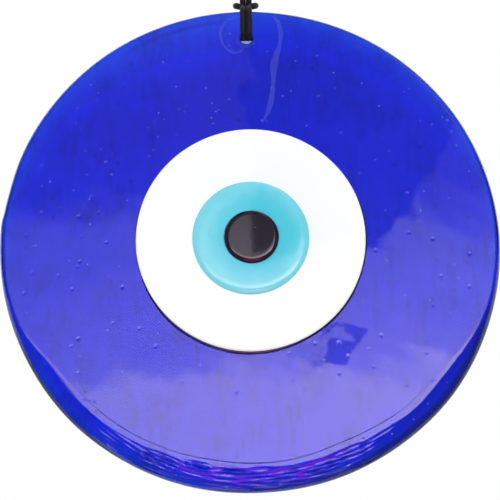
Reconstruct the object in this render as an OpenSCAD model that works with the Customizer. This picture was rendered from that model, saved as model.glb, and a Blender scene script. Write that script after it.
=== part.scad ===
// Hanging glass evil eye: a domed cobalt glass disc with a white ring, a light blue
// ring and a pupil fused on it, hung from a doubled black cord.
// Millimetres. +Z is up, the eye looks along -Y, and the origin is the middle of the
// nail that the cord's loop hangs on. The disc balances in the plane Y = 0.

/* [Glass disc] */

// Diameter of the disc
disc_d = 150; // [100:1:200]

// Thickness of the disc at its middle
disc_t = 9; // [6:0.5:14]

// How much lower the front is where it meets the rounded shoulder than at the middle
dome_h = 0.8; // [0:0.1:2]

// Width of the front's rounded edge over the upper half of the disc
top_edge_w = 1.4; // [0.8:0.1:4]

// Width of the shoulder below the crease, at the bottom of the disc
shoulder_w = 8.2; // [3:0.1:12]

// Height of the outline over the flat back
edge_h = 4; // [2:0.1:5]

// How far in from the outline the back starts to curve, at the top of the disc
back_top_w = 14; // [4:0.5:20]

// How far in from the outline the back starts to curve, at the bottom of the disc
back_bottom_w = 4; // [2:0.5:10]

/* [Eye] */

// Diameter of the white layer
white_d = 68.8; // [50:0.1:90]

// Diameter of the light blue layer
light_blue_d = 34.8; // [25:0.1:48]

// Diameter of the pupil
pupil_d = 16.2; // [8:0.1:22]

// How far each layer stands proud of the glass around it
layer_rise = 1; // [0.4:0.1:2]

// How deep each layer sits in the glass below it
layer_sink = 1; // [0.4:0.1:2]

// Radius of the fire-polished edge of each layer
layer_edge_r = 0.8; // [0.3:0.1:1]

/* [Cord hole] */

// Diameter of the hole near the top of the disc
hole_d = 4.2; // [3.8:0.1:6]

// Distance from the top of the disc down to the middle of the hole
hole_inset = 10; // [6:0.1:14]

/* [Cord] */

// Diameter of the cord
cord_d = 1.8; // [1:0.1:1.9]

// Height of the nail above the top of the disc
loop_h = 45; // [35:1:80]

// Diameter of the nail that the loop is made for
nail_d = 3; // [1.5:0.1:4]

// Length of each cord end that stands out of the end knot
tail_len = 8; // [4:1:14]

/* [Part to draw] */

// Which sub-part is drawn

/* [Hidden] */

$fn = 96;

cobalt = [0.10, 0.13, 0.78];
milk_white = [0.97, 0.98, 0.98];
sky_blue = [0.42, 0.81, 0.90];
pupil_black = [0.08, 0.07, 0.09];
cord_black = [0.04, 0.04, 0.05];

eps = 0.01;
disc_r = disc_d / 2;
top_z = -loop_h;
disc_z = top_z - disc_r;

// Depth of the balance plane in front of the flat back
back_y = 4.5;

// Height over the back of the domed front, at a distance r from the middle
function front_t(r) = disc_t - dome_h * pow(r / disc_r, 2);

// 0 over the top of the disc and 1 at its bottom, where the glass ran down thickest.
// Angles run anticlockwise from +X as seen from the front.
function low_share(angle) = pow((1 - sin(angle)) / 2, 3.6);

// 1 at the top of the disc, where its edge is thinnest, and 0 at its bottom
function high_share(angle) = pow((1 + sin(angle)) / 2, 2);

function front_edge_w(angle) = top_edge_w + (shoulder_w - top_edge_w) * low_share(angle);
function back_edge_w(angle) = back_bottom_w + (back_top_w - back_bottom_w) * high_share(angle);

sides = 96;
dome_steps = 6;
edge_steps = 8;
back_steps = 7;

// Profile of the disc at an angle, from the front's middle round the edge to the back's.
// Each point is [distance from the middle, height over the flat back].
function profile_at(angle) =
    let (front_w = front_edge_w(angle),
         back_w = back_edge_w(angle),
         crease_r = disc_r - front_w,
         crease_fall = front_t(crease_r) - edge_h)
    concat(
        [for (i = [1 : dome_steps]) let (r = crease_r * i / dome_steps) [r, front_t(r)]],
        [for (i = [1 : edge_steps]) let (s = sin(90 * i / edge_steps))
            [crease_r + front_w * s, edge_h + crease_fall * pow(1 - pow(s, 1.25), 0.385)]],
        [for (i = [1 : back_steps]) let (s = cos(90 * i / back_steps))
            [disc_r - back_w * (1 - s), edge_h * (1 - sqrt(1 - s * s))]]
    );

// Seat and top of each layer, measured from the flat back
white_seat = front_t(white_d / 2) - layer_sink;
white_top = front_t(white_d / 2) + layer_rise;
light_blue_seat = white_top - layer_sink;
light_blue_top = white_top + layer_rise;
pupil_seat = light_blue_top - layer_sink;
pupil_top = light_blue_top + layer_rise;

// Gap round a layer's edge inside its recess
seat_gap = 0.02;

// Distance of each strand from the middle plane
strand_x = cord_d / 2 + 0.05;

hitch_r = 2.3;
hitch_w = 4 * cord_d + 0.2;
hitch_z = top_z + 3;
tube_sides = 8;

// A leg of the hitch hugs the glass between the hole and the edge. Points are [y, height
// over the top of the disc], from the front of the edge, through the hole, to the back.
leg_route = [
    [-2.6, 0.4], [-3.5, 0.05], [-4.3, -0.65], [-4.75, -1.6], [-4.8, -2.9], [-4.8, -4.5],
    [-4.85, -6.2], [-4.9, -7.9], [-4.8, -8.7], [-4.15, -9.25], [-3.0, -9.35], [-1.0, -9.35],
    [1.5, -9.35], [3.2, -9.35], [4.4, -9.15], [5.1, -8.5], [5.2, -7.5], [5.0, -6.2],
    [4.7, -4.8], [4.3, -3.4], [3.8, -2.0], [3.2, -0.7], [2.8, 0.4]
];

// A strand of the loop runs from the hitch up to the side of the nail. Points are
// [distance from the middle, z], and the strand ends level with the nail.
strand_route = [
    [0.95, -39.3], [0.95, -35], [0.95, -31], [0.95, -27], [0.95, -23], [0.98, -19],
    [1.06, -16], [1.2, -13], [1.42, -10.5], [1.7, -8], [2.0, -5.5], [2.26, -3],
    [2.4, -1.4], [2.45, 0]
];

function unit(v) = v / norm(v);

// Direction of a route at point i
function heading(route, i) =
    unit(route[min(i + 1, len(route) - 1)] - route[max(i - 1, 0)]);

// Tube of radius r along a route that stays in the plane square to flat_axis
module tube(route, flat_axis, r) {
    n = len(route);
    rings = [for (i = [0 : n - 1], k = [0 : tube_sides - 1])
        let (a = 360 * (k + 0.5) / tube_sides, side = cross(heading(route, i), flat_axis))
        route[i] + r * (cos(a) * flat_axis + sin(a) * side)];
    walls = [for (i = [0 : n - 2], k = [0 : tube_sides - 1])
        let (a = i * tube_sides + k, b = i * tube_sides + (k + 1) % tube_sides)
        each [[a, b, a + tube_sides], [b, b + tube_sides, a + tube_sides]]];
    start_cap = [[for (k = [tube_sides - 1 : -1 : 0]) k]];
    end_cap = [[for (k = [0 : tube_sides - 1]) (n - 1) * tube_sides + k]];
    polyhedron(rings, concat(start_cap, walls, end_cap), convexity = 6);
}

// Turns a profile whose heights are measured from the flat back into a disc of glass
module on_back() {
    translate([0, back_y, disc_z])
        rotate([90, 0, 0])
            rotate_extrude() children();
}

// A pad of glass with a rounded upper edge, from height low to height high
module pad(r, low, high) {
    on_back() {
        translate([0, low]) square([r, high - low - layer_edge_r]);
        square_top(r, high);
    }
}

module square_top(r, high) {
    translate([0, high - layer_edge_r - eps])
        square([r - layer_edge_r, layer_edge_r + eps]);
    translate([r - layer_edge_r, high - layer_edge_r])
        intersection() {
            circle(layer_edge_r);
            translate([-eps, -eps]) square(layer_edge_r + 2 * eps);
        }
}

// Round recess that a layer sits in
module seat(d, low) {
    on_back() translate([0, low]) square([d / 2 + seat_gap, disc_t]);
}

// The disc before its recess and hole are cut
module poured_disc() {
    rings = dome_steps + edge_steps + back_steps;
    points = [for (k = [0 : sides - 1], p = profile_at(360 * k / sides))
        let (angle = 360 * k / sides)
        [p[0] * cos(angle), back_y - p[1], disc_z + p[0] * sin(angle)]];
    walls = [for (k = [0 : sides - 1], i = [0 : rings - 2])
        let (a = k * rings + i, b = (k + 1) % sides * rings + i)
        each [[a, b, a + 1], [b, b + 1, a + 1]]];
    fans = [for (k = [0 : sides - 1])
        let (a = k * rings, b = (k + 1) % sides * rings)
        each [[sides * rings, b, a],
              [sides * rings + 1, a + rings - 1, b + rings - 1]]];
    polyhedron(concat(points, [[0, back_y - disc_t, disc_z], [0, back_y, disc_z]]),
               concat(walls, fans), convexity = 4);
}

module glass_body() {
    color(cobalt)
        difference() {
            poured_disc();
            seat(white_d, white_seat);
            translate([0, back_y + disc_t, top_z - hole_inset])
                rotate([90, 0, 0]) cylinder(d = hole_d, h = 3 * disc_t);
        }
}

module white_layer() {
    color(milk_white)
        difference() {
            pad(white_d / 2, white_seat, white_top);
            seat(light_blue_d, light_blue_seat);
        }
}

module light_blue_layer() {
    color(sky_blue)
        difference() {
            pad(light_blue_d / 2, light_blue_seat, light_blue_top);
            seat(pupil_d, pupil_seat);
        }
}

module pupil() {
    color(pupil_black) pad(pupil_d / 2, pupil_seat, pupil_top);
}

module hitch_leg(side) {
    color(cord_black)
        tube([for (p = leg_route) [side * strand_x, p[0], top_z + p[1]]],
             [1, 0, 0], cord_d / 2);
}

module left_hitch_leg() { hitch_leg(-1); }

module right_hitch_leg() { hitch_leg(1); }

// The bight and its crossing, a barrel that the disc tips round
module hitch_knot() {
    edge = 1;
    color(cord_black)
        translate([-hitch_w / 2, 0, hitch_z])
            rotate([0, 90, 0])
                rotate_extrude() {
                    square([hitch_r - edge, hitch_w]);
                    translate([0, edge]) square([hitch_r, hitch_w - 2 * edge]);
                    for (z = [edge, hitch_w - edge])
                        translate([hitch_r - edge, z]) intersection() {
                            circle(edge);
                            translate([0, -edge]) square([edge, 2 * edge]);
                        }
                }
}

module strand(side) {
    color(cord_black)
        tube([for (p = strand_route) [side * p[0], 0, p[1]]], [0, 1, 0], cord_d / 2);
}

module left_strand() { strand(-1); }

module right_strand() { strand(1); }

knot_r = 3;
knot_z = nail_d / 2 + cord_d + 1.9;
crown_r = nail_d / 2 + cord_d / 2 + 0.05;
crown_from = 35;

// The end knot with the crown of the loop, which lies over the nail
module end_knot() {
    color(cord_black) {
        translate([0, 0, knot_z]) sphere(knot_r);
        rotate([90, 0, 0])
            rotate([0, 0, crown_from])
                rotate_extrude(angle = 180 - 2 * crown_from)
                    translate([crown_r, 0]) circle(d = cord_d, $fn = 32);
    }
}

// The two cut ends, which spread out of the top of the knot
module cord_tails() {
    spread = 24;
    root = 1;
    difference() {
        color(cord_black)
            for (side = [-1, 1])
                translate([side * root, 0, knot_z + root])
                    rotate([0, side * spread, 0])
                        cylinder(d = cord_d, h = tail_len, $fn = 32);
        translate([0, 0, knot_z]) sphere(knot_r);
    }
}

glass_body();
white_layer();
light_blue_layer();
pupil();
left_hitch_leg();
right_hitch_leg();
hitch_knot();
left_strand();
right_strand();
end_knot();
cord_tails();
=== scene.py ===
"""A hanging glass evil eye: its looks, light and camera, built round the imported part."""
import math

import bmesh
import bpy
import numpy as np
from mathutils import Matrix, Vector
from mathutils.geometry import delaunay_2d_cdt


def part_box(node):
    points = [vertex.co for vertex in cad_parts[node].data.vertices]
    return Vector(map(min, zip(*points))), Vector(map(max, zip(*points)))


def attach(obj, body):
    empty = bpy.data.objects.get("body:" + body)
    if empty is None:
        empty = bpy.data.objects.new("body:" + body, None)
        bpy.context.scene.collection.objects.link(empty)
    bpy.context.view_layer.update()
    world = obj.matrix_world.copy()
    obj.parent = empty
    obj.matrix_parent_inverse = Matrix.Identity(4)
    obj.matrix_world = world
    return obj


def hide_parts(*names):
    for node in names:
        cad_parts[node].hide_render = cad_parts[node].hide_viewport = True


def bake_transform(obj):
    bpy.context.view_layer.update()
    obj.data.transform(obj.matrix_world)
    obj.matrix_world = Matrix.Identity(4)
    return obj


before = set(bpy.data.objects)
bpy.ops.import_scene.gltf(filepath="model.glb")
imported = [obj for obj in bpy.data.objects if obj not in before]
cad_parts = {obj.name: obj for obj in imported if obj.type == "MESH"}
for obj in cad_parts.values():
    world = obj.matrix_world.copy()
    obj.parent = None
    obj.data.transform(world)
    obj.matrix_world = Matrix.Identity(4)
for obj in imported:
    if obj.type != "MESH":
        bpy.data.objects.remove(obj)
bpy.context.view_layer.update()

MM = 0.001
scene = bpy.context.scene

# ---------------------------------------------------------------- sizes from the frame

body_lo, body_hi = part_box("glass_body")
white_lo, white_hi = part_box("white_layer")
blue_lo, blue_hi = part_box("light_blue_layer")
pupil_lo, pupil_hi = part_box("pupil")

DISC_R = (body_hi[0] - body_lo[0]) / 2
DISC_Z = (body_hi[2] + body_lo[2]) / 2
TOP_Z = body_hi[2]
BACK_Y = body_hi[1]
WHITE_R = (white_hi[0] - white_lo[0]) / 2
BLUE_R = (blue_hi[0] - blue_lo[0]) / 2
PUPIL_R = (pupil_hi[0] - pupil_lo[0]) / 2

# The other driving sizes of the part, which its boxes don't give
CORD_D = 1.8 * MM
DISC_T = 9.0 * MM
DOME_H = 0.8 * MM
EDGE_H = 4.0 * MM
BACK_TOP_W = 14.0 * MM
BACK_BOTTOM_W = 4.0 * MM
HOLE_R = 2.1 * MM
HOLE_DROP = 10.0 * MM
HOLE_Z = TOP_Z - HOLE_DROP
# The hole's height over the disc's middle
HOLE_RISE = DISC_R - HOLE_DROP
# How far fused layers reach into each other
FUSED = 0.05 * MM
# How far the eye was set off the disc's middle, as [x, z]
EYE_SHIFT = (0.28 * MM, 0.25 * MM)

# ---------------------------------------------------------------- camera

CAMERA_DISTANCE = 0.4327
CAMERA_BELOW = math.radians(15.3)
CAMERA_ROLL = math.radians(1.0)
CAMERA_LENS = 103.4
CAMERA_AIM_DROP = 2.15 * MM


def make_camera():
    data = bpy.data.cameras.new("camera")
    data.sensor_width = 36
    data.lens = CAMERA_LENS
    data.clip_start = 0.01
    data.clip_end = 50
    camera = bpy.data.objects.new("camera", data)
    scene.collection.objects.link(camera)
    back = Vector((0, -math.cos(CAMERA_BELOW), -math.sin(CAMERA_BELOW)))
    camera.location = Vector((0, 0, DISC_Z)) + back * CAMERA_DISTANCE
    look = Vector((0, 0, DISC_Z - CAMERA_AIM_DROP)) - camera.location
    turn = look.to_track_quat("-Z", "Y").to_matrix().to_4x4()
    roll = Matrix.Rotation(-CAMERA_ROLL, 4, "Z")
    camera.matrix_world = Matrix.Translation(camera.location) @ turn @ roll
    scene.camera = camera


make_camera()

# ---------------------------------------------------------------- shader helpers


class Wires:
    """Short calls for a node tree: each returns the output socket it made."""

    def __init__(self, tree):
        self.tree = tree

    def node(self, kind, **settings):
        made = self.tree.nodes.new(kind)
        for key, value in settings.items():
            setattr(made, key, value)
        return made

    def put(self, socket, value):
        if isinstance(value, bpy.types.NodeSocket):
            self.tree.links.new(value, socket)
        else:
            socket.default_value = value

    def math(self, operation, *values, clamp=False):
        made = self.node("ShaderNodeMath", operation=operation, use_clamp=clamp)
        for socket, value in zip(made.inputs, values):
            self.put(socket, value)
        return made.outputs[0]

    def add(self, first, *others):
        for other in others:
            first = self.math("ADD", first, other)
        return first

    def minus(self, a, b):
        return self.math("SUBTRACT", a, b)

    def times(self, first, *others):
        for other in others:
            first = self.math("MULTIPLY", first, other)
        return first

    def over(self, a, b):
        return self.math("DIVIDE", a, b)

    def power(self, a, b):
        return self.math("POWER", a, b)

    def split(self, vector):
        """The x, y and z of a vector."""
        made = self.node("ShaderNodeSeparateXYZ")
        self.put(made.inputs[0], vector)
        return made.outputs

    def smooth(self, value, low, high):
        """0 below low and 1 above high, with soft ends."""
        made = self.node("ShaderNodeMapRange", interpolation_type="SMOOTHSTEP")
        for socket, v in zip(made.inputs, (value, low, high, 0.0, 1.0)):
            self.put(socket, v)
        return made.outputs[0]

    def mix(self, factor, a, b):
        """Colour a where factor is 0, and colour b where it is 1."""
        made = self.node("ShaderNodeMix", data_type="RGBA")
        self.put(made.inputs[0], factor)
        self.put(made.inputs[6], a)
        self.put(made.inputs[7], b)
        return made.outputs[2]

    def ramp(self, factor, stops):
        made = self.node("ShaderNodeValToRGB")
        band = made.color_ramp
        while len(band.elements) < len(stops):
            band.elements.new(1.0)
        for element, (place, colour) in zip(band.elements, stops):
            element.position = place
            element.color = colour
        self.put(made.inputs[0], factor)
        return made.outputs[0]

    def noise(self, vector, scale, detail=2.0, rough=0.5):
        made = self.node("ShaderNodeTexNoise")
        self.put(made.inputs["Vector"], vector)
        made.inputs["Scale"].default_value = scale
        made.inputs["Detail"].default_value = detail
        made.inputs["Roughness"].default_value = rough
        return made.outputs[0]

    def spots(self, vector, scale):
        """Distance to the nearest of a field of scattered points."""
        made = self.node("ShaderNodeTexVoronoi")
        self.put(made.inputs["Vector"], vector)
        made.inputs["Scale"].default_value = scale
        return made.outputs["Distance"]

    def bump(self, height, distance, strength=1.0, normal=None):
        made = self.node("ShaderNodeBump")
        made.inputs["Strength"].default_value = strength
        made.inputs["Distance"].default_value = distance
        self.put(made.inputs["Height"], height)
        if normal is not None:
            self.put(made.inputs["Normal"], normal)
        return made.outputs[0]


def rgb(r, g, b):
    """A colour written as screen values from 0 to 255."""
    def linear(c):
        c /= 255
        return c / 12.92 if c <= 0.04045 else ((c + 0.055) / 1.055) ** 2.4
    return (linear(r), linear(g), linear(b), 1.0)


def new_material(name):
    material = bpy.data.materials.new(name)
    material.use_nodes = True
    wires = Wires(material.node_tree)
    shader = material.node_tree.nodes["Principled BSDF"]
    place = wires.node("ShaderNodeTexCoord").outputs["Object"]
    return material, wires, shader, place


# ---------------------------------------------------------------- materials

# The way from the disc's middle to the painted shade on its rim, as [right, down]
SHADED_RIM_WAY = (0.743, 0.669)


def cobalt_glass():
    """Clear cobalt glass: colour comes from absorption, so thin edges are lighter."""
    material, wires, shader, place = new_material("cobalt_glass")
    cloud = wires.noise(place, 85, 4.0, 0.62)
    upright = wires.node("ShaderNodeMapping")
    upright.inputs["Scale"].default_value = (1.0, 1.0, 0.25)
    wires.put(upright.inputs["Vector"], place)
    streak = wires.noise(upright.outputs[0], 420, 3.0, 0.6)
    tone = wires.add(wires.times(cloud, 0.6), wires.times(streak, 0.4))
    tint = wires.ramp(tone, [
        (0.36, (0.62, 0.58, 0.70, 1)),
        (0.46, (0.90, 0.88, 0.93, 1)),
        (0.53, (1.00, 1.00, 1.00, 1)),
    ])
    # Painted shade: the lower right of the rim is tinted a darker blue than the rest
    x, _, z = wires.split(place)
    drop = wires.minus(DISC_Z, z)
    outward = wires.add(wires.times(x, SHADED_RIM_WAY[0]), wires.times(drop, SHADED_RIM_WAY[1]))
    deep = wires.smooth(outward, DISC_R - 9.5 * MM, DISC_R - 4.5 * MM)
    tint = wires.mix(deep, tint, (0.80, 0.62, 0.72, 1))
    clear = wires.smooth(wires.spots(place, 115), 0.05, 0.11)
    wires.put(shader.inputs["Base Color"], wires.mix(clear, (0.55, 0.50, 0.62, 1), tint))
    shader.inputs["Transmission Weight"].default_value = 1.0
    shader.inputs["IOR"].default_value = 1.5
    shader.inputs["Roughness"].default_value = 0.0
    film = wires.smooth(wires.noise(place, 330, 3.0, 0.6), 0.34, 0.52)
    wires.put(shader.inputs["Specular IOR Level"], wires.add(wires.times(film, 0.22), 0.29))
    waves = wires.bump(wires.noise(place, 200, 2.0, 0.5), 0.015 * MM, 0.5)
    pits = wires.smooth(wires.spots(place, 190), 0.0, 0.16)
    wires.put(shader.inputs["Normal"], wires.bump(pits, 0.06 * MM, 0.8, waves))
    absorb = wires.node("ShaderNodeVolumeAbsorption")
    absorb.inputs["Color"].default_value = (0.0, 0.455, 0.944, 1)
    absorb.inputs["Density"].default_value = 930
    out = material.node_tree.nodes["Material Output"]
    wires.put(out.inputs["Volume"], absorb.outputs[0])
    return material


def faint_glass(name, colour, strength):
    """A pale stria, a bubble's painted glint, or a line of painted shade or glow in the glass,
    which fades out towards its own edges.
    """
    material, wires, shader, place = new_material(name)
    tone = wires.noise(place, 700, 2.0, 0.5)
    deep = tuple(c * 0.7 for c in colour[:3]) + (1,)
    wires.put(shader.inputs["Base Color"], wires.mix(tone, deep, colour))
    shader.inputs["Roughness"].default_value = 0.3
    shader.inputs["Specular IOR Level"].default_value = 0.0
    facing = wires.node("ShaderNodeLayerWeight")
    facing.inputs["Blend"].default_value = 0.3
    inward = wires.math("SUBTRACT", 1.0, facing.outputs["Facing"], clamp=True)
    wires.put(shader.inputs["Alpha"], wires.times(inward, strength))
    return material


def opal_glass(name, near, far, inner, outer, pit_scale):
    """Glossy opaque glass whose colour goes from near to far between two radii."""
    material, wires, shader, place = new_material(name)
    x, _, height = wires.split(place)
    z = wires.minus(height, DISC_Z)
    radius = wires.math("SQRT", wires.add(wires.times(x, x), wires.times(z, z)))
    cloud = wires.noise(place, 140, 3.0, 0.6)
    waver = wires.times(wires.minus(cloud, 0.5), (outer - inner) * 0.8)
    # The far colour reaches in a little more at the lower left
    sideways = wires.add(wires.times(x, -0.12), wires.times(z, -0.10))
    share = wires.smooth(wires.add(wires.add(radius, waver), sideways), inner, outer)
    wires.put(shader.inputs["Base Color"], wires.mix(share, near, far))
    shader.inputs["IOR"].default_value = 1.5
    shader.inputs["Roughness"].default_value = 0.04
    grain = wires.bump(wires.noise(place, 500, 2.0, 0.5), 0.01 * MM, 0.25)
    pits = wires.smooth(wires.spots(place, pit_scale), 0.0, 0.08)
    wires.put(shader.inputs["Normal"], wires.bump(pits, 0.04 * MM, 0.5, grain))
    return material


def cord_fibre():
    """Matt black braid with fine threads."""
    material, wires, shader, place = new_material("black_cord")
    tone = wires.noise(place, 1800, 3.0, 0.6)
    wires.put(shader.inputs["Base Color"],
              wires.mix(tone, rgb(5, 5, 9), rgb(22, 22, 30)))
    shader.inputs["Roughness"].default_value = 0.6
    shader.inputs["Specular IOR Level"].default_value = 0.3
    shader.inputs["Sheen Weight"].default_value = 0.08
    thread = wires.noise(place, 6000, 2.0, 0.6)
    wires.put(shader.inputs["Normal"], wires.bump(thread, 0.06 * MM, 0.6))
    return material


def floor_material():
    material, wires, shader, place = new_material("studio_floor")
    tone = wires.noise(place, 3, 2.0, 0.5)
    wires.put(shader.inputs["Base Color"],
              wires.mix(tone, (0.80, 0.80, 0.80, 1), (0.84, 0.84, 0.84, 1)))
    shader.inputs["Roughness"].default_value = 0.8
    return material


# ---------------------------------------------------------------- mesh helpers

SHARP_ANGLE = math.radians(38)


def quads(rows, columns, rows_close=False, columns_close=True, start=0):
    """Faces over a grid of points whose rows and columns may close on themselves."""
    def at(i, k):
        return start + i % rows * columns + k % columns
    return [(at(i, k), at(i, k + 1), at(i + 1, k + 1), at(i + 1, k))
            for i in range(rows if rows_close else rows - 1)
            for k in range(columns if columns_close else columns - 1)]


def mesh_object(name, verts, faces, material):
    """A smooth object of one material."""
    mesh = bpy.data.meshes.new(name)
    mesh.from_pydata([tuple(v) for v in verts], [], [tuple(f) for f in faces])
    mesh.validate()
    mesh.update()
    bm = bmesh.new()
    bm.from_mesh(mesh)
    unused = [v for v in bm.verts if not v.link_faces]
    bmesh.ops.delete(bm, geom=unused, context="VERTS")
    bmesh.ops.recalc_face_normals(bm, faces=bm.faces)
    bm.to_mesh(mesh)
    bm.free()
    mesh.polygons.foreach_set("use_smooth", [True] * len(mesh.polygons))
    mesh.set_sharp_from_angle(angle=SHARP_ANGLE)
    mesh.materials.append(material)
    made = bpy.data.objects.new(name, mesh)
    scene.collection.objects.link(made)
    return made


def smooth_route(points, step):
    """Points every step or so along a smooth curve through the given ones."""
    p = np.array(points, float)
    p = np.vstack([2 * p[0] - p[1], p, 2 * p[-1] - p[-2]])
    fine = []
    for a, b, c, d in zip(p[:-3], p[1:-2], p[2:-1], p[3:]):
        t = np.linspace(0, 1, 24, endpoint=False)[:, None]
        fine.append(0.5 * (2 * b + (c - a) * t + (2 * a - 5 * b + 4 * c - d) * t**2
                           + (3 * b - a - 3 * c + d) * t**3))
    fine = np.vstack(fine + [p[-2][None]])
    for _ in range(6):
        fine[1:-1] = (fine[:-2] + 2 * fine[1:-1] + fine[2:]) / 4
    gap = np.linalg.norm(np.diff(fine, axis=0), axis=1)
    along = np.concatenate([[0], np.cumsum(gap)])
    count = max(2, int(round(along[-1] / step)))
    places = np.linspace(0, along[-1], count + 1)
    return np.stack([np.interp(places, along, fine[:, k]) for k in range(3)], 1)


def carried_frames(path):
    """Two unit vectors across the path at each point, turned as little as possible."""
    heading = np.gradient(path, axis=0)
    heading /= np.linalg.norm(heading, axis=1)[:, None]
    first = np.cross(heading[0], (0.3, 0.9, 0.2))
    sides = [first / np.linalg.norm(first)]
    for h in heading[1:]:
        side = sides[-1] - h * (sides[-1] @ h)
        sides.append(side / np.linalg.norm(side))
    sides = np.array(sides)
    return sides, np.cross(heading, sides)


# ---------------------------------------------------------------- cord

STRAND_X = CORD_D / 2 + 0.05 * MM
CROWN_R = 2.45 * MM
KNOT_Z = 5.2 * MM
# Each strand is cut into two pieces at this height, and above it bends round the nail
SPLIT_Z = -6 * MM
# Heights for each motion, from the upper body's end
SWING_BEND = (2.2 * MM, -3.5 * MM)
TWIST_BEND = (TOP_Z + 24 * MM, TOP_Z + 7 * MM)
TIP_BEND = (TOP_Z + 2.6 * MM, TOP_Z - 0.8 * MM)
CORD_STEP = 0.22 * MM
CORD_SIDES = 32

cord_material = cord_fibre()

# A strand starts this far over the disc's top, and goes up to the side of the nail along
# the part's own route: [distance from the middle, z] in millimetres
STRAND_FOOT = 6.0 * MM
STRAND_ROUTE = [
    [0.95, -35], [0.95, -31], [0.95, -27], [0.95, -23], [0.98, -19], [1.06, -16],
    [1.2, -13], [1.42, -10.5], [1.7, -8], [2.0, -5.5], [2.26, -3], [2.4, -1.4], [2.45, 0],
]

# The leg that hugs the glass, as in the part's own route: [y, height over the disc's top]
LEG_ROUTE = [
    [-2.6, 0.4], [-3.5, 0.05], [-4.3, -0.65], [-4.75, -1.6], [-4.8, -2.9], [-4.8, -4.5],
    [-4.85, -6.2], [-4.9, -7.9], [-4.8, -8.7], [-4.15, -9.25], [-3.0, -9.35], [-1.0, -9.35],
    [1.5, -9.35], [3.2, -9.35], [4.4, -9.15], [5.1, -8.5], [5.2, -7.5], [5.0, -6.2],
    [4.7, -4.8], [4.3, -3.4], [3.8, -2.0], [3.2, -0.7], [2.8, 0.4],
]

# From the back of the disc's edge up into the strand, and from the front of the edge
# round behind the strands: [x, y, height over the disc's top]
NECK_ROUTE = [[-0.95, 2.1, 1.7], [-0.95, 1.2, 3.0], [-0.95, 0.4, 4.6], [-0.95, 0, 6.4]]
BIGHT_ROUTE = [[-1.35, -2.4, 0.95], [-2.0, -2.2, 1.35], [-2.8, -1.5, 1.9],
               [-3.15, -0.1, 2.5], [-2.75, 1.5, 3.1], [-1.5, 2.75, 3.4], [0, 3.05, 3.5]]

# A cut end, from the knot up and outwards: [x, y, z]
TAIL_ROUTE = [[0.8, 0.3, 5.2], [1.1, 0.4, 7.4], [2.0, 0.3, 9.6], [3.1, -0.2, 11.6],
              [3.9, -0.5, 13.0]]


def over_top(point):
    return (point[0] * MM, point[1] * MM, TOP_Z + point[2] * MM)


def braided_tube(path, phase):
    """Vertices and faces of a round cord with a fine diamond braid on it."""
    side, other = carried_frames(path)
    n = len(path)
    turn = np.arange(CORD_SIDES) * 2 * math.pi / CORD_SIDES
    along = np.arange(n) * CORD_STEP
    pitch = 5.2 * MM
    lean = 2 * math.pi * along[:, None] / pitch + phase
    left = np.cos(4 * (turn[None] - lean))
    right = np.cos(4 * (turn[None] + lean))
    radius = CORD_D / 2 * (1.03 + 0.055 * left * right + 0.02 * np.maximum(left, right))
    radius[0] *= 0.6
    radius[-1] *= 0.6
    verts = (path[:, None]
             + radius[..., None] * (np.cos(turn)[None, :, None] * side[:, None]
                                    + np.sin(turn)[None, :, None] * other[:, None]))
    verts = verts.reshape(-1, 3)
    faces = quads(n, CORD_SIDES)
    faces.append(tuple(range(CORD_SIDES))[::-1])
    faces.append(tuple((n - 1) * CORD_SIDES + k for k in range(CORD_SIDES)))
    return verts, faces


def cord_piece(name, path, phase=0.0):
    verts, faces = braided_tube(path, phase)
    return mesh_object(name, verts, faces, cord_material)


def split_cord(low_name, high_name, path, cut):
    """One cord as two pieces that meet at point number cut of its path."""
    verts, faces = braided_tube(path, 0.0)
    start = cut * CORD_SIDES
    low = [f for f in faces if max(f) < start + CORD_SIDES]
    high = [tuple(i - start for i in f) for f in faces if min(f) >= start]
    cap = tuple(range(CORD_SIDES))
    low.append(tuple(i + start for i in cap))
    high.append(cap[::-1])
    return (mesh_object(low_name, verts[:start + CORD_SIDES], low, cord_material),
            mesh_object(high_name, verts[start:], high, cord_material))


def fuzz_piece(name, path, count, seed):
    """Short loose fibres that stand out of a cord."""
    rng = np.random.default_rng(seed)
    side, other = carried_frames(path)
    verts, faces = [], []
    hair_r = 0.02 * MM
    for _ in range(count):
        i = int(rng.integers(2, len(path) - 3))
        angle = rng.uniform(0, 2 * math.pi)
        out = math.cos(angle) * side[i] + math.sin(angle) * other[i]
        heading = path[i + 1] - path[i]
        heading /= np.linalg.norm(heading)
        bend = heading * rng.uniform(-1, 1) + np.cross(out, heading) * rng.uniform(-1, 1)
        reach = rng.uniform(0.25, 0.8) * MM
        start = path[i] + out * CORD_D * 0.46
        base = len(verts)
        for k in range(5):
            t = k / 4
            middle = start + out * reach * t * (1 - 0.45 * t) + bend * reach * t * t
            r = hair_r * (1 - 0.7 * t)
            across = np.cross(out, bend)
            across /= np.linalg.norm(across) + 1e-12
            for j in range(3):
                a = 2 * math.pi * j / 3
                verts.append(middle + r * (math.cos(a) * across + math.sin(a) * heading))
        faces += quads(5, 3, start=base)
        faces.append((base + 2, base + 1, base))
        faces.append((base + 12, base + 13, base + 14))
    return mesh_object(name, verts, faces, cord_material)


def strand_path(side):
    """One strand, and its share of the crown round the nail."""
    points = [(side * STRAND_X, 0, TOP_Z + STRAND_FOOT)]
    points += [(side * x * MM, 0, z * MM) for x, z in STRAND_ROUTE]
    for degrees in (20, 40, 60, 80):
        a = math.radians(degrees)
        points.append((side * CROWN_R * math.cos(a), 0, CROWN_R * math.sin(a)))
    return smooth_route(points, CORD_STEP)


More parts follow.
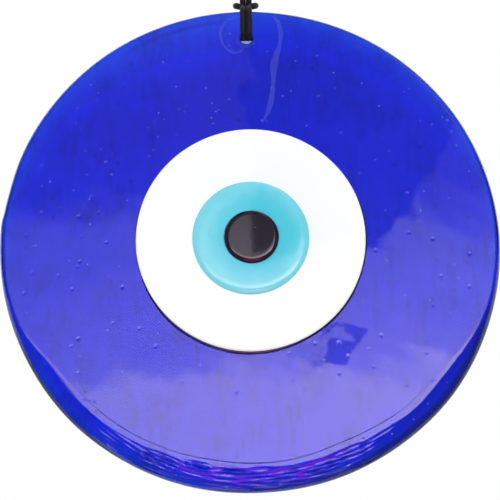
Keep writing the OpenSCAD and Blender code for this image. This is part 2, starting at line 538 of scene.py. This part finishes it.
def hitch_path():
    """Up the back, through the hole, up the front and round behind, on both sides."""
    half = [over_top(p) for p in NECK_ROUTE[::-1]]
    half += [(-STRAND_X, y * MM, TOP_Z + z * MM) for y, z in LEG_ROUTE[::-1][1:]]
    half += [over_top(p) for p in BIGHT_ROUTE]
    other = [(-x, y, z) for x, y, z in half[-2::-1]]
    return smooth_route(half + other, CORD_STEP)


def overhand_knot():
    """The cord's two ends, side by side, tied in one overhand knot."""
    scale = 0.80 * MM
    beside = 0.82 * MM
    wraps = []
    for offset in (-beside, beside):
        t = np.linspace(0.12, 2 * math.pi - 0.12, 90)
        x = np.sin(t) + 2 * np.sin(2 * t)
        z = np.cos(t) - 2 * np.cos(2 * t)
        y = -np.sin(3 * t)
        path = np.stack([x * scale, y * scale + offset, -z * scale + KNOT_Z], 1)
        wraps.append(smooth_route(path, CORD_STEP))
    verts, faces = [], []
    for k, path in enumerate(wraps):
        v, f = braided_tube(path, 0.4 * k)
        faces += [tuple(i + len(verts) for i in face) for face in f]
        verts += list(v)
    return mesh_object("end_knot_wraps", verts, faces, cord_material)


def tail_path(side):
    return smooth_route([(side * x * MM, side * y * MM, z * MM) for x, y, z in TAIL_ROUTE],
                        CORD_STEP)


def bend(piece, upper, lower, heights):
    """Bakes a piece of cord's placement into its mesh."""
    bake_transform(piece)


def make_cords():
    """The knot and its ends on the nail, the two strands, and the hitch in the disc."""
    knot = overhand_knot()
    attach(knot, "nail_knot")
    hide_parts("end_knot")
    for side, word in ((-1, "left"), (1, "right")):
        tail = cord_piece(word + "_cord_end", tail_path(side), 1.1)
        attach(tail, "nail_knot")
        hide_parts("cord_tails")
    for side, word in ((-1, "left"), (1, "right")):
        path = strand_path(side)
        cut = int(np.argmax(path[:, 2] > SPLIT_Z))
        below = path[:cut + 1]
        strand, crown = split_cord(word + "_cord_strand", word + "_cord_crown", path, cut)
        bend(strand, "strands", "hitch", TWIST_BEND)
        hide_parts(word + "_strand")
        bend(crown, "nail_knot", "strands", SWING_BEND)
        fuzz = fuzz_piece(word + "_strand_fibres", below, 70, 11 + side)
        bend(fuzz, "strands", "hitch", TWIST_BEND)
    path = hitch_path()
    hitch = cord_piece("cord_hitch", path, 0.3)
    bend(hitch, "hitch", "disc", TIP_BEND)
    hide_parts("hitch_knot", "left_hitch_leg", "right_hitch_leg")
    bend(fuzz_piece("hitch_fibres", path, 110, 5), "hitch", "disc", TIP_BEND)


make_cords()

# ---------------------------------------------------------------- glass disc

# Width of the front's rounded edge by angle, in degrees and millimetres: narrow over
# the top and both sides, and a broad shoulder with a crease round the bottom
EDGE_WIDTHS = [
    (0, 0.9), (20, 1.2), (45, 1.4), (135, 1.4), (175, 1.1), (190, 1.0), (200, 2.2),
    (206, 4.0), (212, 6.0), (218, 6.5), (223, 6.1), (231, 5.9), (240, 6.2), (249, 6.7),
    (260, 7.2), (270, 7.0), (280, 7.0), (292, 7.4), (302, 6.6), (312, 5.6), (320, 6.2),
    (327, 5.4), (337, 3.1), (348, 1.5), (360, 0.9),
]

# A shallow hollow in the back at eleven o'clock: its middle and spread in degrees, its
# depth, how far in from the rim it is deepest, and how far in it reaches
HOLLOW_AT, HOLLOW_SPREAD = 108, 24
HOLLOW_H, HOLLOW_START, HOLLOW_REACH = 1.4 * MM, 4.5 * MM, 13 * MM


def front_edge_w(angle):
    """Width of the front's rounded edge, with the corners of the list taken off."""
    at, width = np.array(EDGE_WIDTHS).T
    turn = np.degrees(angle) % 360
    return sum(np.interp((turn + d) % 360, at, width) for d in (-2, 0, 2)) / 3 * MM


def back_edge_w(angle):
    high_share = ((1 + np.sin(angle)) / 2) ** 2
    return BACK_BOTTOM_W + (BACK_TOP_W - BACK_BOTTOM_W) * high_share


def dome_height(r):
    return DISC_T - DOME_H * (r / DISC_R) ** 2


def front_height(r, angle):
    """Height of the front over the flat back, at a distance r from the middle."""
    width = front_edge_w(angle)
    share = np.clip((r - (DISC_R - width)) / width, 0, 1)
    fall = dome_height(DISC_R - width) - EDGE_H
    shoulder = EDGE_H + fall * (1 - share**1.25) ** 0.385
    return np.where(share > 0, shoulder, dome_height(r))


def back_height(r, angle):
    width = back_edge_w(angle)
    share = np.clip((r - (DISC_R - width)) / width, 0, 1)
    inset = DISC_R - r
    turn = (np.degrees(angle) - HOLLOW_AT) / HOLLOW_SPREAD
    near_rim = np.sin(np.clip(inset / HOLLOW_START, 0, 1) * math.pi / 2) ** 2
    hollow = HOLLOW_H * np.exp(-turn**4) * near_rim * np.exp(-(inset / HOLLOW_REACH) ** 2)
    return EDGE_H * (1 - np.sqrt(1 - share**2)) + hollow


# Hand-shaped unevenness. Angles run anticlockwise from +X as seen from the front.
def outline_shift(angle):
    """How far the outline strays from a circle, with the step at half past nine."""
    wave = (0.10 * np.cos(2 * angle + 0.9) + 0.07 * np.cos(3 * angle + 0.2)
            + 0.05 * np.cos(5 * angle + 2.0) + 0.02 * np.cos(11 * angle + 0.7))

    def degrees_past(at):
        return np.degrees(np.angle(np.exp(1j * (angle - math.radians(at)))))

    def dent(at, width, depth):
        return depth * np.exp(-(degrees_past(at) / width) ** 2)

    past = degrees_past(173.5)
    lip = 0.45 * np.exp(-np.abs(past) / 7) / (1 + np.exp(-past / 0.5))
    return (wave + dent(270, 16, -0.35) + dent(166, 6, -0.25) + lip
            + dent(225, 12, 0.15) + dent(320, 12, 0.2)) * MM


# The length and height of each wave of the front, in millimetres
WAVE_SIZES = [(34, 0.007)] * 10 + [(16, 0.0025)] * 8 + [(8, 0.001)] * 8
WAVES = np.random.default_rng(7).uniform(-1, 1, (len(WAVE_SIZES), 4))


def ripple(x, z):
    """Slow unevenness of the poured glass, as a height."""
    total = np.zeros_like(x)
    for (length, height), (a, b, phase, stretch) in zip(WAVE_SIZES, WAVES):
        direction = math.atan2(a, b)
        k = 2 * math.pi / (length * MM * (1 + 0.35 * stretch))
        along = x * math.cos(direction) + z * math.sin(direction)
        total += height * MM * np.sin(k * along + 6 * phase)
    return total


FOLD_H = 0.055 * MM
FOLDS = np.random.default_rng(19).uniform(-1, 1, (14, 4))


def shoulder_folds(r, angle):
    """Long shallow folds that run along the shoulder round the bottom of the disc."""
    inset = (DISC_R - r) / MM
    low = np.exp(-((np.degrees(angle) % 360 - 268) / 36) ** 4)
    total = np.zeros_like(r)
    for a, b, c, d in FOLDS:
        wave = np.sin(2 * math.pi * inset / (1.5 + 0.6 * a) + 8 * b * angle + 6 * c)
        total += wave * np.sin(angle * (17 + 9 * c) + 6 * d)
    to_crease = front_edge_w(angle) / MM - inset
    body = np.clip(inset / 1.2, 0, 1) * np.clip(to_crease, 0, 1)
    return total * low * body * FOLD_H


SEGMENTS = 420
HOLE_SIDES = 64
# The grid is cut back to this distance from the hole, and stitched to the hole in
# rings at these distances, in millimetres
HOLE_MARGIN = 1.1 * MM
HOLE_RINGS = (0, 0.12, 0.3, 0.6, 0.9)


class Grid:
    """One side of the disc: rings of points, with the cord hole stitched in."""

    def __init__(self, rings):
        """Each ring is a function that gives its radius at every angle."""
        turn = np.arange(SEGMENTS) * 2 * math.pi / SEGMENTS
        self.points = []
        for ring in rings:
            r = ring(turn)
            self.points += list(zip(r * np.cos(turn), r * np.sin(turn)))
        x, z = np.array(self.points).T
        near = np.hypot(x, z - HOLE_RISE) < HOLE_R + HOLE_MARGIN
        self.faces, removed = [], []
        for cell in quads(len(rings), SEGMENTS):
            (removed if any(near[v] for v in cell) else self.faces).append(cell)
        self.outer = (len(rings) - 1) * SEGMENTS
        self.hole_ring = self.stitch(removed)

    def stitch(self, removed):
        """Fills the removed cells up to the hole, and returns the points round it."""
        uses = {}
        for cell in removed:
            for u, v in zip(cell, cell[1:] + cell[:1]):
                uses.setdefault(frozenset((u, v)), []).append((u, v))
        rim = [e[0] for e in uses.values() if len(e) == 1]
        rim_points = sorted({v for e in rim for v in e})
        index = {v: n for n, v in enumerate(rim_points)}
        flat = [Vector(self.points[v]) for v in rim_points]
        edges = [(index[u], index[v]) for u, v in rim]
        middle = Vector((0, HOLE_RISE))
        for out in HOLE_RINGS:
            start = len(flat)
            for n in range(HOLE_SIDES):
                a = 2 * math.pi * n / HOLE_SIDES
                flat.append(middle + Vector((math.cos(a), math.sin(a)))
                            * (HOLE_R + out * MM))
            edges += [(start + n, start + (n + 1) % HOLE_SIDES) for n in range(HOLE_SIDES)]
        # The triangulation is finer in millimetres than in metres
        big = 1 / MM
        points, _, triangles, sources, _, _ = delaunay_2d_cdt(
            [v * big for v in flat], edges, [], 1, 1e-6, True)
        place, ring = {}, {}
        for n, p in enumerate(points):
            source = sources[n][0] if sources[n] else len(flat)
            if source < len(rim_points):
                place[n] = rim_points[source]
                continue
            place[n] = len(self.points)
            self.points.append((p.x / big, p.y / big))
            if source < len(rim_points) + HOLE_SIDES:
                ring[source - len(rim_points)] = place[n]
        starts = np.array([flat[u] for u, _ in edges[:len(rim)]])
        ends = np.array([flat[v] for _, v in edges[:len(rim)]])
        for t in triangles:
            centre = sum((points[v] for v in t), Vector((0, 0))) / 3 / big
            # Inside the rim when a line to the right crosses it an odd number of times
            spans = (starts[:, 1] > centre.y) != (ends[:, 1] > centre.y)
            slope = (ends - starts)[spans]
            at = starts[spans, 0] + (centre.y - starts[spans, 1]) * slope[:, 0] / slope[:, 1]
            inside = (at > centre.x).sum() % 2
            if inside and (centre - middle).length > HOLE_R * 0.999:
                self.faces.append(tuple(place[v] for v in t))
        return [ring[n] for n in range(HOLE_SIDES)]


def front_points(x, z):
    """Points on the front at places measured from the disc's middle."""
    r, angle = np.hypot(x, z), np.arctan2(z, x)
    fade = np.clip((DISC_R - r) / (3 * MM), 0, 1)
    h = front_height(r, angle) + ripple(x, z) * fade + shoulder_folds(r, angle)
    return np.stack([x, BACK_Y - h, z], 1)


def shaped(points):
    """Gives points round the disc's middle the hand-made outline, and puts them in place."""
    points = np.array(points)
    angle = np.arctan2(points[:, 2], points[:, 0])
    r = np.hypot(points[:, 0], points[:, 2])
    pull = np.clip((r - 0.55 * DISC_R) / (0.45 * DISC_R), 0, 1) ** 2
    r = r + outline_shift(angle) * pull
    slide = np.clip((0.85 * DISC_R - r) / (0.3 * DISC_R), 0, 1)
    return np.stack([r * np.cos(angle) + EYE_SHIFT[0] * slide, points[:, 1],
                     r * np.sin(angle) + EYE_SHIFT[1] * slide + DISC_Z], 1)


def make_glass_body():
    """The disc: front, back, outer edge, hole, and the recess under the white layer."""
    recess_r = WHITE_R - FUSED
    seat_y = white_hi[1] - FUSED
    rings = [lambda turn, f=f: recess_r + (DISC_R - front_edge_w(turn) - recess_r) * f
             for f in np.linspace(0, 1, 36)]
    rings += [lambda turn, s=s: DISC_R - front_edge_w(turn) * (1 - s)
              for s in np.sin(np.linspace(0, math.pi / 2, 37)[1:])]
    front = Grid(rings)
    rings = [lambda turn, f=f: (DISC_R - back_edge_w(turn)) * f
             for f in np.linspace(0.1, 1, 40)]
    rings += [lambda turn, s=s: DISC_R - back_edge_w(turn) * (1 - s)
              for s in np.sin(np.linspace(0, math.pi / 2, 16)[1:-1])]
    back = Grid(rings)
    verts = list(front_points(*np.array(front.points).T))
    faces = list(front.faces)
    shift = len(verts)
    x, z = np.array(back.points).T
    h = back_height(np.hypot(x, z), np.arctan2(z, x))
    verts += list(np.stack([x, BACK_Y - h, z], 1))
    faces += [tuple(v + shift for v in face) for face in back.faces]

    def band(a, b, count):
        """Quads between two closed loops of points."""
        for k in range(count):
            j = (k + 1) % count
            faces.append((a[k], a[j], b[j], b[k]))

    band(range(front.outer, front.outer + SEGMENTS),
         range(shift + back.outer, shift + back.outer + SEGMENTS), SEGMENTS)
    loops = [front.hole_ring]
    for h in np.linspace(DISC_T - 2 * MM, 2 * MM, 5):
        loops.append(range(len(verts), len(verts) + HOLE_SIDES))
        for n in range(HOLE_SIDES):
            a = 2 * math.pi * n / HOLE_SIDES
            verts.append((HOLE_R * math.cos(a), BACK_Y - h,
                          HOLE_RISE + HOLE_R * math.sin(a)))
    loops.append([v + shift for v in back.hole_ring])
    for a, b in zip(loops[:-1], loops[1:]):
        band(a, b, HOLE_SIDES)
    # The recess under the white layer, and the middle of the back
    loops = [range(SEGMENTS)]
    for r in (recess_r, recess_r * 0.6, recess_r * 0.25):
        loops.append(range(len(verts), len(verts) + SEGMENTS))
        for k in range(SEGMENTS):
            a = 2 * math.pi * k / SEGMENTS
            verts.append((r * math.cos(a), seat_y, r * math.sin(a)))
    for a, b in zip(loops[:-1], loops[1:]):
        band(a, b, SEGMENTS)
    for y, loop in ((seat_y, loops[-1]), (BACK_Y, range(shift, shift + SEGMENTS))):
        verts.append((0, y, 0))
        faces += [(loop[k], loop[(k + 1) % SEGMENTS], len(verts) - 1)
                  for k in range(SEGMENTS)]
    body = mesh_object("cobalt_disc", shaped(verts), faces, cobalt_glass())
    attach(body, "disc")
    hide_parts("glass_body")


# Lines of pale glass that the pour left in the front: [x, z] from the disc's middle
FLOW_LINES = [
    ("hole_flow_line", [(-1.6, 72.6), (-4.8, 71.6), (-7.2, 69.4), (-8.0, 66.6), (-7.4, 63.4),
                        (-5.6, 60.9), (-3.0, 60.0), (-0.6, 61.3)], 0.42),
    ("long_flow_line", [(8.4, 72.8), (10.2, 69.6), (10.7, 66.0), (10.3, 62.4), (9.2, 59.2),
                        (8.3, 56.0), (8.0, 51.5), (7.6, 47.0), (6.8, 43.0), (5.6, 39.4),
                        (4.2, 36.8)], 0.9),
]


def line_piece(name, path, size, depth, material):
    """A flat bead of width size and half-thickness depth, laid along the glass."""
    path = np.array(path)
    path[:, 1] = front_points(path[:, 0], path[:, 2])[:, 1]
    path = shaped(path)
    count, sides = len(path), 12
    turn = np.arange(sides) * 2 * math.pi / sides
    taper = np.sin(np.linspace(0.08, math.pi - 0.08, count)) ** 0.5
    wide = size * taper * (1 + 0.25 * np.sin(np.linspace(0, 17, count)))
    out = np.array([0, -1, 0])
    across = np.cross(np.gradient(path, axis=0), out)
    across /= np.linalg.norm(across, axis=1)[:, None]
    verts = (path[:, None] + wide[:, None, None] * np.cos(turn)[None, :, None] * across[:, None]
             + depth * taper[:, None, None] * np.sin(turn)[None, :, None] * out)
    faces = quads(count, sides)
    faces.append(tuple(range(sides)))
    faces.append(tuple((count - 1) * sides + k for k in range(sides)))
    line = mesh_object(name, verts.reshape(-1, 3), faces, material)
    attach(line, "disc")


def make_flow_lines():
    pale = faint_glass("pale_glass_line", (0.22, 0.27, 1.0, 1), 0.15)
    for name, route, size in FLOW_LINES:
        path = smooth_route([(x * MM, 0, z * MM) for x, z in route], 0.3 * MM)
        line_piece(name, path, size * MM, 0.12 * MM, pale)
    # A dark line along the crease over the shoulder, as painted shade
    dark = faint_glass("crease_shade_line", (0.02, 0.02, 0.25, 1), 0.75)
    angle = np.radians(np.linspace(222, 318, 160))
    r = DISC_R - front_edge_w(angle) - (1.5 + 0.25 * np.sin(5 * angle)) * MM
    path = np.stack([r * np.cos(angle), 0 * r, r * np.sin(angle)], 1)
    line_piece("shoulder_crease_shade", path, 0.13 * MM, 0.04 * MM, dark)


def make_bubbles():
    """Specks of trapped air just under the front, painted pale as their glints."""
    rng = np.random.default_rng(31)
    verts, faces = [], []
    for _ in range(150):
        r = math.sqrt(rng.uniform(37**2, 72**2)) * MM
        a = rng.uniform(0, 2 * math.pi)
        x, z = np.array([r * math.cos(a)]), np.array([r * math.sin(a)])
        middle = shaped(front_points(x, z))[0]
        size = rng.uniform(0.07, 0.2) * MM
        base = len(verts)
        for i in range(1, 4):
            for k in range(6):
                lat, lon = math.pi * i / 4, 2 * math.pi * k / 6
                verts.append(middle + size * np.array([
                    math.sin(lat) * math.cos(lon), math.cos(lat),
                    math.sin(lat) * math.sin(lon)]))
        verts += [middle + (0, size, 0), middle - (0, size, 0)]
        faces += quads(3, 6, start=base)
        for k in range(6):
            j = (k + 1) % 6
            faces.append((base + k, base + j, base + 18))
            faces.append((base + 12 + j, base + 12 + k, base + 19))
    specks = mesh_object("trapped_bubbles", verts, faces,
                         faint_glass("bubble_glint", (0.55, 0.62, 1.0, 1), 0.9))
    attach(specks, "disc")


def make_pad(name, replaced, material, seed, radius, low_y, high_y, edge_w, edge_h,
             crown, recess=None, lean=(0, 0), shift=(0, 0)):
    """A pad of fused glass: a low crown, a rounded edge and a recess for the next one.

    The pad lies between low_y and high_y, and recess is the radius and the y of the
    next one's seat. lean is how far its top was pushed over, and shift how far all of it
    strayed from the eye's middle, both as [x, z].
    """
    segments = 240
    rng = np.random.default_rng(seed)
    waver = sum(rng.uniform(-0.06, 0.06) * MM / n
                * np.cos(n * (np.arange(segments) * 2 * math.pi / segments)
                         + rng.uniform(0, 6)) for n in range(2, 7))
    flat_r = radius - edge_w
    inner = recess[0] if recess else 0.4 * MM
    top = [(r, high_y + crown * (r / flat_r) ** 2) for r in np.linspace(inner, flat_r, 22)]
    bend = [(flat_r + edge_w * math.sin(a), high_y + crown + edge_h * (1 - math.cos(a)))
            for a in np.linspace(0, math.pi / 2, 14)[1:]]
    wall = [(radius, low_y - 0.15 * MM), (radius - 0.15 * MM, low_y)]
    under = [(radius * 0.5, low_y), (0.4 * MM, low_y)]
    profile = top + bend + wall + under
    if recess:
        depth = recess[1]
        profile = [(0.4 * MM, depth), (recess[0] * 0.6, depth), (recess[0], depth)] + profile
    x0, z0 = EYE_SHIFT[0] + shift[0], EYE_SHIFT[1] + shift[1] + DISC_Z
    verts = []
    for r, y in profile:
        for k in range(segments):
            a = 2 * math.pi * k / segments
            rr = r + waver[k] * (r / radius) ** 3
            push = 1 - (r / radius) ** 6 if y < low_y else 0
            verts.append((rr * math.cos(a) + x0 + lean[0] * push, y,
                          rr * math.sin(a) + z0 + lean[1] * push))
    first, last = len(verts), len(verts) + 1
    verts.append((x0 + lean[0], profile[0][1], z0 + lean[1]))
    verts.append((x0, low_y, z0))
    faces = quads(len(profile), segments)
    end = (len(profile) - 1) * segments
    for k in range(segments):
        j = (k + 1) % segments
        faces.append((j, k, first))
        faces.append((end + k, end + j, last))
    pad = mesh_object(name, verts, faces, material)
    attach(pad, "disc")
    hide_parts(replaced)


def make_hole_lip():
    """The ground glass round the lower front of the hole, darker at its top edge as painted
    shade, with a painted dark line of shade under it and a painted pale glow round that.
    """
    material, wires, shader, place = new_material("ground_glass")
    rise = wires.minus(wires.split(place)[2], HOLE_Z)
    grain = wires.times(wires.noise(place, 2500, 2.0, 0.6), 0.5 * MM)
    # Painted shade: the lip darkens towards its top edge, next to the dark inside of the hole
    share = wires.smooth(wires.add(rise, grain), -0.9 * MM, 0.1 * MM)
    wires.put(shader.inputs["Base Color"],
              wires.mix(share, rgb(150, 164, 216), rgb(30, 40, 100)))
    shader.inputs["Roughness"].default_value = 0.85
    front_y = float(front_points(np.array([0.0]), np.array([HOLE_RISE]))[0, 1])
    radius = HOLE_R * 0.98
    # The lip fills the hole from its lower wall up to a line this far below its middle
    top_z = -0.8 * MM
    count, rows = 40, 5
    verts = []
    for i in range(rows):
        t = i / (rows - 1)
        for k in range(count):
            a = math.pi * (0.98 + 1.04 * k / (count - 1))
            x, z = radius * math.cos(a), radius * math.sin(a)
            verts.append((x, front_y + (0.15 + 0.5 * t) * MM,
                          HOLE_Z + z + max(0, top_z - z) * t))
    lip = mesh_object("hole_lip", verts, quads(rows, count, columns_close=False), material)
    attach(lip, "disc")
    angle = np.linspace(1.02, 1.98, 60) * math.pi
    edge = faint_glass("hole_rim_shade_line", (0.01, 0.03, 0.25, 1), 0.8)
    glow = faint_glass("hole_edge_glow", (0.08, 0.13, 1.0, 1), 0.18)
    # A painted dark line of shade just round the hole's lower edge, and a painted pale glow
    # further out
    for name, out, size, look in (("hole_edge", 0.08 * MM, 0.13 * MM, edge),
                                  ("hole_glow", 0.75 * MM, 0.5 * MM, glow)):
        r = HOLE_R + out
        path = np.stack([r * np.cos(angle), 0 * angle, HOLE_RISE + r * np.sin(angle)], 1)
        line_piece(name, path, size, 0.05 * MM, look)


def make_white_edge_shade():
    """A dark ring of cobalt glass just under the white layer's lower edge, as painted shade
    there.
    """
    sides, segments = 10, 240
    drop, depth, tube = 0.50 * MM, 1.0 * MM, 0.55 * MM
    verts = []
    for k in range(segments):
        a = 2 * math.pi * k / segments
        r = WHITE_R - 0.35 * MM + 0.12 * MM * math.sin(3 * a + 1) + 0.08 * MM * math.sin(7 * a)
        for n in range(sides):
            b = 2 * math.pi * n / sides
            rr = r + tube * math.cos(b)
            verts.append((rr * math.cos(a) + EYE_SHIFT[0],
                          white_hi[1] - depth + tube * math.sin(b),
                          rr * math.sin(a) + EYE_SHIFT[1] + DISC_Z - drop))
    material, wires, shader, place = new_material("painted_shade_cobalt")
    tone = wires.noise(place, 300, 2.0, 0.5)
    wires.put(shader.inputs["Base Color"],
              wires.mix(tone, rgb(4, 4, 40), rgb(14, 12, 80)))
    shader.inputs["Roughness"].default_value = 0.15
    edge_shade = mesh_object("white_edge_shade", verts, quads(segments, sides, rows_close=True),
                       material)
    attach(edge_shade, "disc")


def make_eye():
    """The white, light blue and dark layers."""
    white = opal_glass("white_glass", (0.93, 0.95, 0.96, 1), (0.97, 0.97, 0.97, 1),
                       WHITE_R * 0.5, WHITE_R, 90)
    blue = opal_glass("light_blue_glass", rgb(74, 199, 220), rgb(124, 214, 229),
                      PUPIL_R * 1.1, BLUE_R, 160)
    dark = opal_glass("dark_glass", rgb(16, 13, 18), rgb(26, 14, 20),
                      PUPIL_R * 0.7, PUPIL_R, 260)
    make_pad("white_ring", "white_layer", white, seed=21,
             radius=WHITE_R, low_y=white_hi[1], high_y=white_lo[1],
             edge_w=1.0 * MM, edge_h=0.8 * MM, crown=0.1 * MM,
             recess=(BLUE_R - FUSED, blue_hi[1] - FUSED))
    make_pad("light_blue_ring", "light_blue_layer", blue, seed=22,
             radius=BLUE_R, low_y=blue_hi[1], high_y=blue_lo[1],
             edge_w=2.9 * MM, edge_h=0.85 * MM, crown=0.05 * MM,
             recess=(PUPIL_R - FUSED, pupil_hi[1] - FUSED))
    make_pad("dark_pupil", "pupil", dark, seed=23,
             radius=PUPIL_R, low_y=pupil_hi[1], high_y=pupil_lo[1],
             edge_w=1.5 * MM, edge_h=0.85 * MM, crown=0.03 * MM,
             lean=(-0.05 * MM, 0.4 * MM), shift=(0.3 * MM, -0.1 * MM))


make_glass_body()
make_flow_lines()
make_bubbles()
make_hole_lip()
make_white_edge_shade()
make_eye()

# ---------------------------------------------------------------- light and floor

LAMP_SIZE = 0.8


def make_floor():
    """A wide plain floor below the ornament."""
    half, below, n = 3.0, 0.12, 12
    depth = TOP_Z - 2 * DISC_R - below
    places = np.linspace(-half, half, n + 1)
    verts = [(x, y, depth) for y in places for x in places]
    floor = mesh_object("studio_floor", verts, quads(n + 1, n + 1, columns_close=False),
                        floor_material())
    floor.visible_glossy = False


def area_light(name, place, power):
    """A soft round lamp that shines on the middle of the disc."""
    data = bpy.data.lights.new(name, "AREA")
    data.shape = "DISK"
    data.size = LAMP_SIZE
    data.energy = power
    lamp = bpy.data.objects.new(name, data)
    scene.collection.objects.link(lamp)
    lamp.location = place
    look = Vector((0, 0, DISC_Z)) - Vector(place)
    lamp.rotation_euler = look.to_track_quat("-Z", "Y").to_euler()
    lamp.visible_glossy = False
    lamp.visible_transmission = False


# The bright room that the front mirrors: its linear colour by the height of the mirrored
# direction, which is level at 0 and straight up at 1
ROOM_LEVELS = [
    (0.00, (6.0, 5.1, 4.6, 1)),
    (0.150, (5.8, 4.9, 4.4, 1)),
    (0.172, (3.3, 2.8, 3.4, 1)),
    (0.205, (2.75, 2.35, 3.1, 1)),
    (0.240, (2.35, 2.05, 2.8, 1)),
    (0.270, (1.95, 1.8, 2.1, 1)),
    (0.289, (1.72, 1.58, 1.8, 1)),
    (0.307, (1.1, 0.95, 1.4, 1)),
    (0.326, (0.68, 0.56, 1.0, 1)),
    (0.360, (0.64, 0.52, 1.0, 1)),
    (1.00, (0.64, 0.52, 1.0, 1)),
]
FIGURE_COLOUR = (0.35, 0.32, 0.5, 1)
LOW_ROOM_COLOUR = (0.22, 0.20, 0.40, 1)
LOW_GLOW_COLOUR = (3.4, 0.10, 1.6, 1)
WHITE = (1.0, 1.0, 1.0, 1)
# How high and how far across the figure's hand is
HAND_HEIGHT, HAND_ACROSS = 0.173, 0.074


def figure_shade(w, across, z):
    """A figure that stands before the glass, a little to the right of its middle."""
    foot = w.add(w.times(across, 0.22), 0.235)
    above = w.smooth(w.minus(z, foot), 0.0, 0.010)
    left = w.smooth(across, -0.001, 0.004)
    lean = w.times(w.minus(z, 0.28), 0.7)
    right = w.smooth(w.minus(across, lean), 0.142, 0.132)
    figure = w.times(left, right, above)
    hand_z = w.over(w.minus(z, HAND_HEIGHT), 0.013)
    hand_at = w.add(w.times(hand_z, 0.006), HAND_ACROSS)
    hand_x = w.over(w.minus(across, hand_at), 0.018)
    reach = w.add(w.power(hand_x, 4.0), w.power(hand_z, 4.0))
    hand = w.smooth(reach, 1.5, 0.5)
    return w.math("MAXIMUM", w.times(figure, 0.9), w.times(hand, 0.7))


def bright_room(w, direction, x, y, z):
    """The room in front, which brightens downwards and to the right."""
    ahead = w.math("MAXIMUM", w.times(y, -1.0), 0.05)
    across = w.over(x, ahead)
    slow = w.minus(w.noise(direction, 9.0, 3.0, 0.5), 0.5)
    fine = w.minus(w.noise(direction, 150.0, 3.0, 0.6), 0.5)
    wobble = w.add(w.times(slow, 0.03), w.times(fine, 0.012))
    droop = w.times(w.power(across, 2.0), 0.6)
    level = w.ramp(w.add(z, droop, wobble), ROOM_LEVELS)
    level = w.mix(figure_shade(w, across, z), level, FIGURE_COLOUR)
    scaled = w.node("ShaderNodeVectorMath", operation="SCALE")
    w.put(scaled.inputs[0], level)
    w.put(scaled.inputs["Scale"], w.add(1.0, across))
    return scaled.outputs[0]


def mirrored(w, direction, x, y, z):
    """What glossy rays see: the bright room in front, a violet glow under it, and white
    behind."""
    front = w.smooth(y, 0.1, -0.1)
    wide = w.smooth(w.math("ABSOLUTE", x), 0.50, 0.30)
    over = w.smooth(z, -0.09, -0.03)
    share = w.times(front, wide, over)
    glow_z = w.over(w.add(z, 0.42), 0.26)
    glow_x = w.over(w.minus(x, 0.02), 0.30)
    glow_r = w.add(w.power(glow_z, 2.0), w.power(glow_x, 2.0))
    glow = w.times(w.smooth(glow_r, 1.2, 0.3), front)
    low_room = w.mix(glow, LOW_ROOM_COLOUR, LOW_GLOW_COLOUR)
    low_room = w.mix(front, WHITE, low_room)
    return w.mix(share, low_room, bright_room(w, direction, x, y, z))


def make_world():
    """White all round, except for reflections and for what the lower shoulder bends."""
    world = bpy.data.worlds.new("studio")
    scene.world = world
    world.use_nodes = True
    world.cycles.sampling_method = "NONE"
    tree = world.node_tree
    tree.nodes.clear()
    w = Wires(tree)
    direction = w.node("ShaderNodeTexCoord").outputs["Generated"]
    x, y, z = w.split(direction)
    rays = w.node("ShaderNodeLightPath").outputs
    through = rays["Is Transmission Ray"]
    glossy = w.math("SUBTRACT", rays["Is Glossy Ray"], through, clamp=True)
    bounced = w.math("GREATER_THAN", rays["Glossy Depth"], 0.5)
    mirror = w.math("MAXIMUM", glossy, bounced)
    plain = w.mix(rays["Is Diffuse Ray"], WHITE, (0.86, 0.86, 0.86, 1))
    # The wall behind is dim where the lower shoulder looks, most of all on the right
    high = w.times(w.smooth(z, 0.30, 0.44), through)
    dim = w.times(high, w.add(0.22, w.times(w.smooth(x, 0.10, -0.12), 0.36)))
    plain = w.mix(dim, plain, (0, 0, 0, 1))
    background = w.node("ShaderNodeBackground")
    w.put(background.inputs[0], w.mix(mirror, plain, mirrored(w, direction, x, y, z)))
    w.put(w.node("ShaderNodeOutputWorld").inputs[0], background.outputs[0])


make_floor()
make_world()
area_light("key", (-0.9, -1.1, 0.6), 4.4)
area_light("fill", (1.0, -1.0, 0.1), 3.0)
scene.view_settings.view_transform = "Standard"
scene.view_settings.look = "None"
